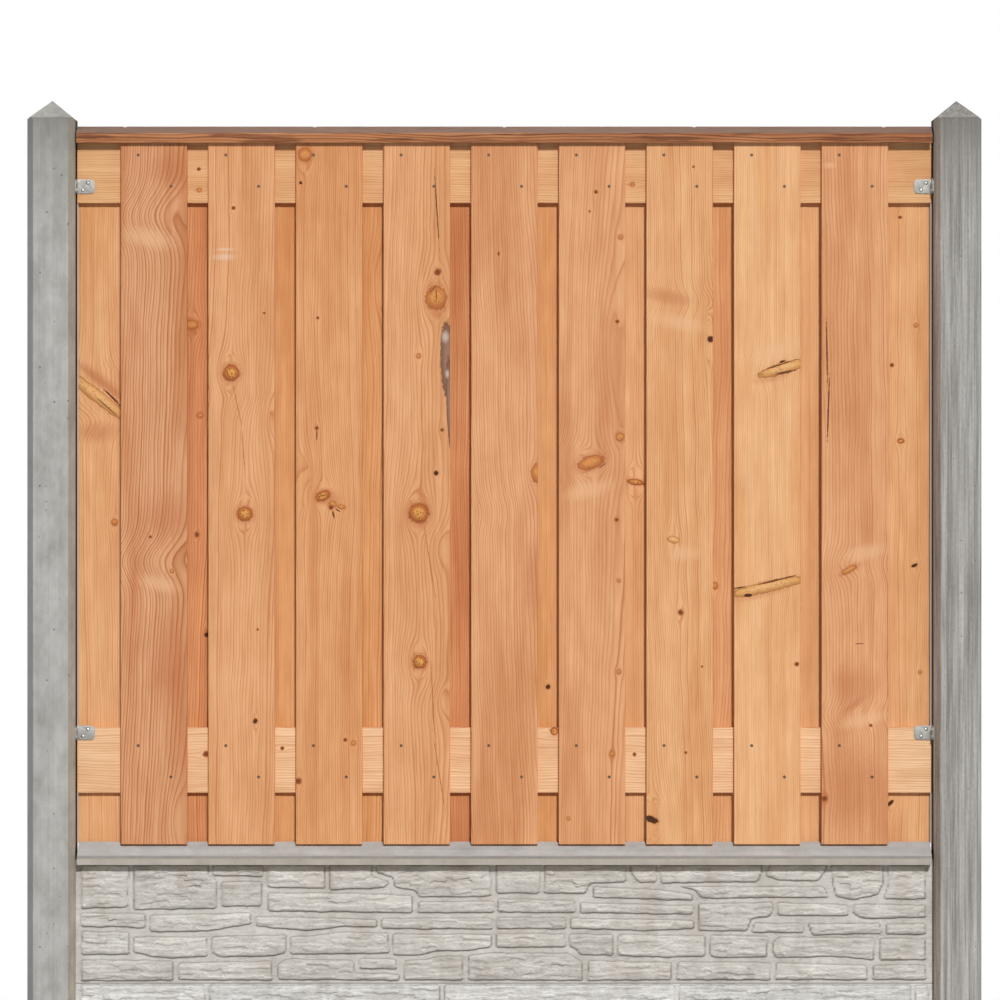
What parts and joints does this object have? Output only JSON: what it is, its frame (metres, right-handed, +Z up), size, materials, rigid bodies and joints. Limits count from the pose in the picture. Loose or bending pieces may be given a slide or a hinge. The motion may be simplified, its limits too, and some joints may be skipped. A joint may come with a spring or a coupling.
{
  "type": "privacy fence panel",
  "caption": "Timber privacy fence bay: hit-and-miss boards on rails with a ridged cap, between pointed concrete posts, over stone-faced concrete base boards with a ridged coping.",
  "frame": {"origin": "on the ground line, midway between the two posts and in the middle of their depth", "axes": "+X along the fence to the right as seen from the front, +Y towards the back, +Z up"},
  "size_m": [2.006, 0.11, 2.7693],
  "materials": {
    "concrete_post": "cast concrete, lightly weathered",
    "concrete_board_lower": "cast concrete, split stone face",
    "concrete_board_upper": "cast concrete, rubble stone face",
    "concrete_coping": "cast concrete, trowelled",
    "timber_board": "planed softwood",
    "timber_rail": "planed softwood",
    "timber_cap": "planed softwood, greyed by weather",
    "galvanised_steel": "hot-dip galvanised",
    "plated_screws": "zinc plated",
    "stainless_screws": "stainless",
    "plug_nylon": "moulded nylon"
  },
  "bodies": {
    "root": {"back_board_1": "timber_board", "back_board_10": "timber_board", "back_board_2": "timber_board", "back_board_3": "timber_board", "back_board_4": "timber_board", "back_board_5": "timber_board", "back_board_6": "timber_board", "back_board_7": "timber_board", "back_board_8": "timber_board", "back_board_9": "timber_board", "back_board_screws": "stainless_screws", "base_board_lower": "concrete_board_lower", "base_board_upper": "concrete_board_upper", "base_coping": "concrete_coping", "bracket_bottom_left": "galvanised_steel", "bracket_bottom_right": "galvanised_steel", "bracket_post_screws": "plated_screws", "bracket_rail_screws": "plated_screws", "bracket_top_left": "galvanised_steel", "bracket_top_right": "galvanised_steel", "cap_rail": "timber_cap", "cap_rail_screws": "stainless_screws", "front_board_1": "timber_board", "front_board_2": "timber_board", "front_board_3": "timber_board", "front_board_4": "timber_board", "front_board_5": "timber_board", "front_board_6": "timber_board", "front_board_7": "timber_board", "front_board_8": "timber_board", "front_board_9": "timber_board", "front_board_screws": "stainless_screws", "post_left": "concrete_post", "post_right": "concrete_post", "rail_bottom": "timber_rail", "rail_top": "timber_rail", "wall_plugs": "plug_nylon"}
  },
  "joints": []
}
